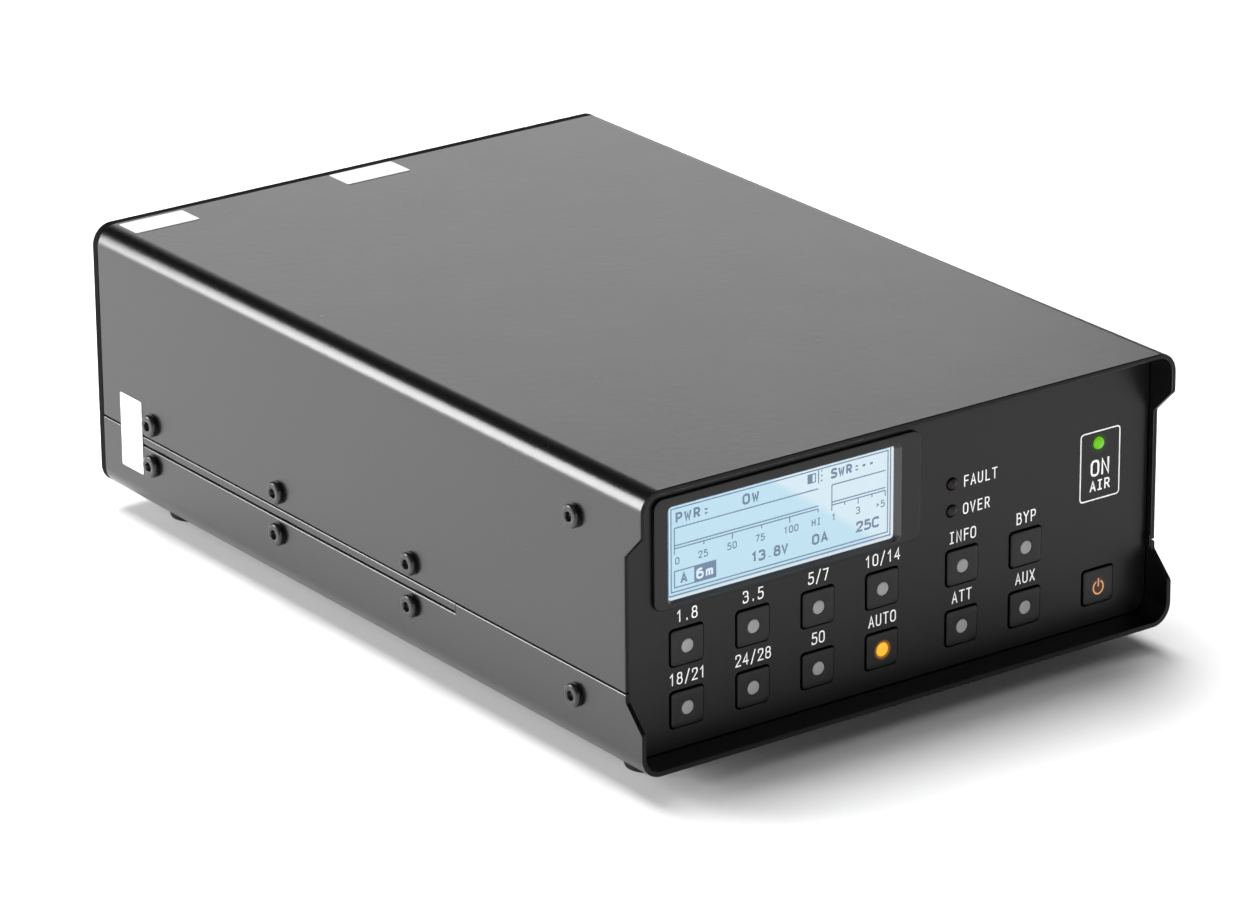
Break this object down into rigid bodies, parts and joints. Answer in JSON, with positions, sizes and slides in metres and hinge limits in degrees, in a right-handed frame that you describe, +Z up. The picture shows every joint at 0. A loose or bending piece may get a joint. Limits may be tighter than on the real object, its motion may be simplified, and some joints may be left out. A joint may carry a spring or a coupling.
{
  "type": "hf linear amplifier",
  "caption": "Table-top radio-frequency power amplifier: low sheet-metal case with a notched front recess, display in a raised bezel, square push keys, indicator lamps, rear sockets and fan.",
  "frame": {"origin": "on the floor, under the centre of the overall box", "axes": "+Z up, the front panel towards -Y, +X to the right as seen from the front"},
  "size_m": [0.158, 0.244, 0.075],
  "materials": {
    "powder_coated_steel": "satin powder coat",
    "painted_panel": "matt paint",
    "bezel_plastic": "fine texture",
    "window_acrylic": "clear",
    "display": "lit display",
    "key_plastic": "fine texture",
    "light_guide_plastic": "frosted",
    "light_guide_amber": "lit",
    "led_red": "unlit",
    "led_olive": "unlit",
    "led_green": "lit",
    "circuit_board": "solder mask",
    "black_moulding": "plain",
    "plated_steel": "zinc plated",
    "sink_aluminium": "black anodised",
    "ceramic_package": "plain",
    "ferrite": "sintered",
    "iron_powder": "coated",
    "relay_case": "plain",
    "insulator": "plain",
    "contact_brass": "plain",
    "black_screw_steel": "black oxide",
    "foot_rubber": "plain",
    "sticker_paper": "plain white"
  },
  "bodies": {
    "case": {"amplifier_board": "circuit_board", "antenna_socket": "plated_steel", "band_relays": "relay_case", "board_standoffs": "plated_steel", "case_screws": "black_screw_steel", "control_board": "circuit_board", "control_jacks": "black_moulding", "dc_inlet": "black_moulding", "dc_inlet_pins": "contact_brass", "display_bezel": "bezel_plastic", "display_window": "window_acrylic", "earth_terminal": "plated_steel", "fan_frame": "black_moulding", "feet": "foot_rubber", "filter_board": "circuit_board", "foot_screws": "black_screw_steel", "front_panel": "painted_panel", "heat_sink": "sink_aluminium", "lcd_module": "display", "led_fault": "led_red", "led_on_air": "led_green", "led_overdrive": "led_olive", "lower_cover": "powder_coated_steel", "output_transformer": "ferrite", "power_transistors": "ceramic_package", "rear_panel": "powder_coated_steel", "rear_panel_screws": "black_screw_steel", "rf_input_socket": "plated_steel", "socket_contacts": "contact_brass", "socket_insulators": "insulator", "stickers": "sticker_paper", "tact_switches": "black_moulding", "toroid_coils": "iron_powder", "upper_cover": "powder_coated_steel"},
    "key_1_8": {"key_cap_1_8": "key_plastic", "light_guide_1_8": "light_guide_plastic"},
    "key_3_5": {"key_cap_3_5": "key_plastic", "light_guide_3_5": "light_guide_plastic"},
    "key_5_7": {"key_cap_5_7": "key_plastic", "light_guide_5_7": "light_guide_plastic"},
    "key_10_14": {"key_cap_10_14": "key_plastic", "light_guide_10_14": "light_guide_plastic"},
    "key_18_21": {"key_cap_18_21": "key_plastic", "light_guide_18_21": "light_guide_plastic"},
    "key_24_28": {"key_cap_24_28": "key_plastic", "light_guide_24_28": "light_guide_plastic"},
    "key_50": {"key_cap_50": "key_plastic", "light_guide_50": "light_guide_plastic"},
    "key_auto": {"key_cap_auto": "key_plastic", "light_guide_auto": "light_guide_amber"},
    "key_info": {"key_cap_info": "key_plastic", "light_guide_info": "light_guide_plastic"},
    "key_attenuator": {"key_cap_attenuator": "key_plastic", "light_guide_attenuator": "light_guide_plastic"},
    "key_bypass": {"key_cap_bypass": "key_plastic", "light_guide_bypass": "light_guide_plastic"},
    "key_auxiliary": {"key_cap_auxiliary": "key_plastic", "light_guide_auxiliary": "light_guide_plastic"},
    "key_power": {"key_cap_power": "key_plastic"},
    "fan_rotor": {"fan_rotor": "black_moulding"}
  },
  "joints": [
    {"name": "press_1_8", "type": "slide", "parent": "case", "child": "key_1_8", "axis": [0, 1, 0], "range_m": [0, 0.0004], "stiffness_N_per_m": 1500},
    {"name": "press_3_5", "type": "slide", "parent": "case", "child": "key_3_5", "axis": [0, 1, 0], "range_m": [0, 0.0004], "stiffness_N_per_m": 1500},
    {"name": "press_5_7", "type": "slide", "parent": "case", "child": "key_5_7", "axis": [0, 1, 0], "range_m": [0, 0.0004], "stiffness_N_per_m": 1500},
    {"name": "press_10_14", "type": "slide", "parent": "case", "child": "key_10_14", "axis": [0, 1, 0], "range_m": [0, 0.0004], "stiffness_N_per_m": 1500},
    {"name": "press_18_21", "type": "slide", "parent": "case", "child": "key_18_21", "axis": [0, 1, 0], "range_m": [0, 0.0004], "stiffness_N_per_m": 1500},
    {"name": "press_24_28", "type": "slide", "parent": "case", "child": "key_24_28", "axis": [0, 1, 0], "range_m": [0, 0.0004], "stiffness_N_per_m": 1500},
    {"name": "press_50", "type": "slide", "parent": "case", "child": "key_50", "axis": [0, 1, 0], "range_m": [0, 0.0004], "stiffness_N_per_m": 1500},
    {"name": "press_auto", "type": "slide", "parent": "case", "child": "key_auto", "axis": [0, 1, 0], "range_m": [0, 0.0004], "stiffness_N_per_m": 1500},
    {"name": "press_info", "type": "slide", "parent": "case", "child": "key_info", "axis": [0, 1, 0], "range_m": [0, 0.0004], "stiffness_N_per_m": 1500},
    {"name": "press_attenuator", "type": "slide", "parent": "case", "child": "key_attenuator", "axis": [0, 1, 0], "range_m": [0, 0.0004], "stiffness_N_per_m": 1500},
    {"name": "press_bypass", "type": "slide", "parent": "case", "child": "key_bypass", "axis": [0, 1, 0], "range_m": [0, 0.0004], "stiffness_N_per_m": 1500},
    {"name": "press_auxiliary", "type": "slide", "parent": "case", "child": "key_auxiliary", "axis": [0, 1, 0], "range_m": [0, 0.0004], "stiffness_N_per_m": 1500},
    {"name": "press_power", "type": "slide", "parent": "case", "child": "key_power", "axis": [0, 1, 0], "range_m": [0, 0.0004], "stiffness_N_per_m": 1500},
    {"name": "fan_spin", "type": "hinge", "parent": "case", "child": "fan_rotor", "pos_m": [0, 0.1012, 0.04045], "axis": [0, 1, 0], "continuous": true}
  ]
}
